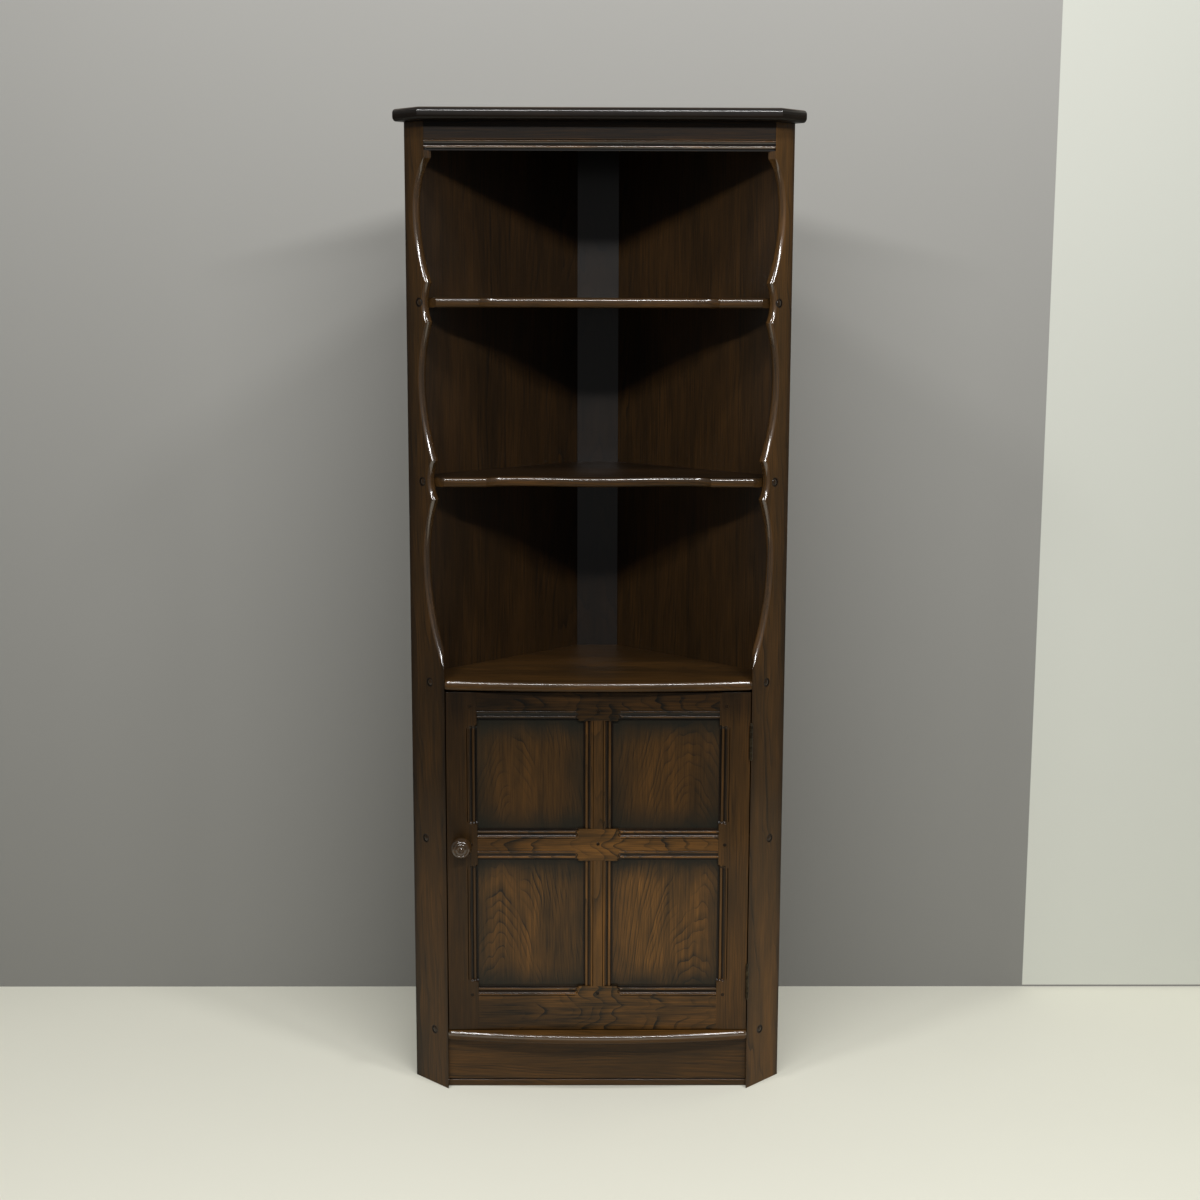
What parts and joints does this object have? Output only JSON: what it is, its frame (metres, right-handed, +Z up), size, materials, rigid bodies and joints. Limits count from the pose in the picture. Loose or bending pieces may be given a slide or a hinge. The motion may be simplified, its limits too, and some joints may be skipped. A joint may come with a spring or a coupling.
{
  "type": "corner cupboard",
  "caption": "Tall corner cupboard: open shaped shelves between scalloped canted side boards, over an inset four-panel door with a turned knob, under a moulded frieze and top",
  "frame": {"origin": "the middle of the bounding box in plan, at floor level; the door's front face lies 172.7 mm in front of it, and the corner that the cupboard fits lies behind it, on x = 0", "axes": "+X to the right, +Y back towards the corner, +Z up; the cupboard faces -Y"},
  "size_m": [0.7412, 0.4174, 1.83],
  "materials": {
    "carcase_wood": "dark brown stain under satin lacquer",
    "back_wood": "dark brown stain under thin satin lacquer",
    "door_wood": "dark brown stain under satin lacquer",
    "panel_wood": "brown stain shaded darker to the edges, satin lacquer",
    "plug_wood": "near-black stain, polished",
    "block_wood": "unfinished softwood",
    "hinge_brass": "darkened with age",
    "bright_steel": "zinc plated",
    "catch_plastic": "brown moulded"
  },
  "bodies": {
    "case": {"left_side_board": "carcase_wood", "right_side_board": "carcase_wood", "left_back_panel": "back_wood", "right_back_panel": "back_wood", "corner_back_board": "back_wood", "top_board": "carcase_wood", "frieze_rail": "carcase_wood", "upper_shelf": "carcase_wood", "middle_shelf": "carcase_wood", "waist_shelf": "carcase_wood", "inner_shelf": "carcase_wood", "base_board": "carcase_wood", "plinth_board": "carcase_wood", "left_upper_shelf_plug": "plug_wood", "left_middle_shelf_plug": "plug_wood", "left_waist_shelf_plug": "plug_wood", "left_inner_shelf_plug": "plug_wood", "left_base_board_plug": "plug_wood", "right_upper_shelf_plug": "plug_wood", "right_middle_shelf_plug": "plug_wood", "right_waist_shelf_plug": "plug_wood", "right_inner_shelf_plug": "plug_wood", "right_base_board_plug": "plug_wood", "right_frieze_block": "block_wood", "left_frieze_block": "block_wood", "right_plinth_block": "block_wood", "left_plinth_block": "block_wood", "door_catch": "catch_plastic", "upper_hinge_case_leaf": "hinge_brass", "upper_hinge_pin": "hinge_brass", "lower_hinge_case_leaf": "hinge_brass", "lower_hinge_pin": "hinge_brass"},
    "door": {"door_left_stile": "door_wood", "door_right_stile": "door_wood", "door_top_rail": "door_wood", "door_middle_rail": "door_wood", "door_bottom_rail": "door_wood", "door_upper_muntin": "door_wood", "door_lower_muntin": "door_wood", "door_upper_right_panel": "panel_wood", "door_upper_left_panel": "panel_wood", "door_lower_right_panel": "panel_wood", "door_lower_left_panel": "panel_wood", "top_rail_left_peg": "plug_wood", "top_rail_right_peg": "plug_wood", "middle_rail_left_peg": "plug_wood", "middle_rail_right_peg": "plug_wood", "bottom_rail_left_peg": "plug_wood", "bottom_rail_right_peg": "plug_wood", "top_muntin_peg": "plug_wood", "middle_muntin_peg": "plug_wood", "bottom_muntin_peg": "plug_wood", "door_knob": "plug_wood", "knob_screw": "bright_steel", "catch_strike": "bright_steel", "upper_hinge_door_leaf": "hinge_brass", "lower_hinge_door_leaf": "hinge_brass"}
  },
  "joints": [
    {"name": "door_hinge", "type": "hinge", "parent": "case", "child": "door", "pos_m": [0.284, -0.17608, 0.45], "axis": [0, 0, 1], "range_deg": [0, 135]}
  ]
}
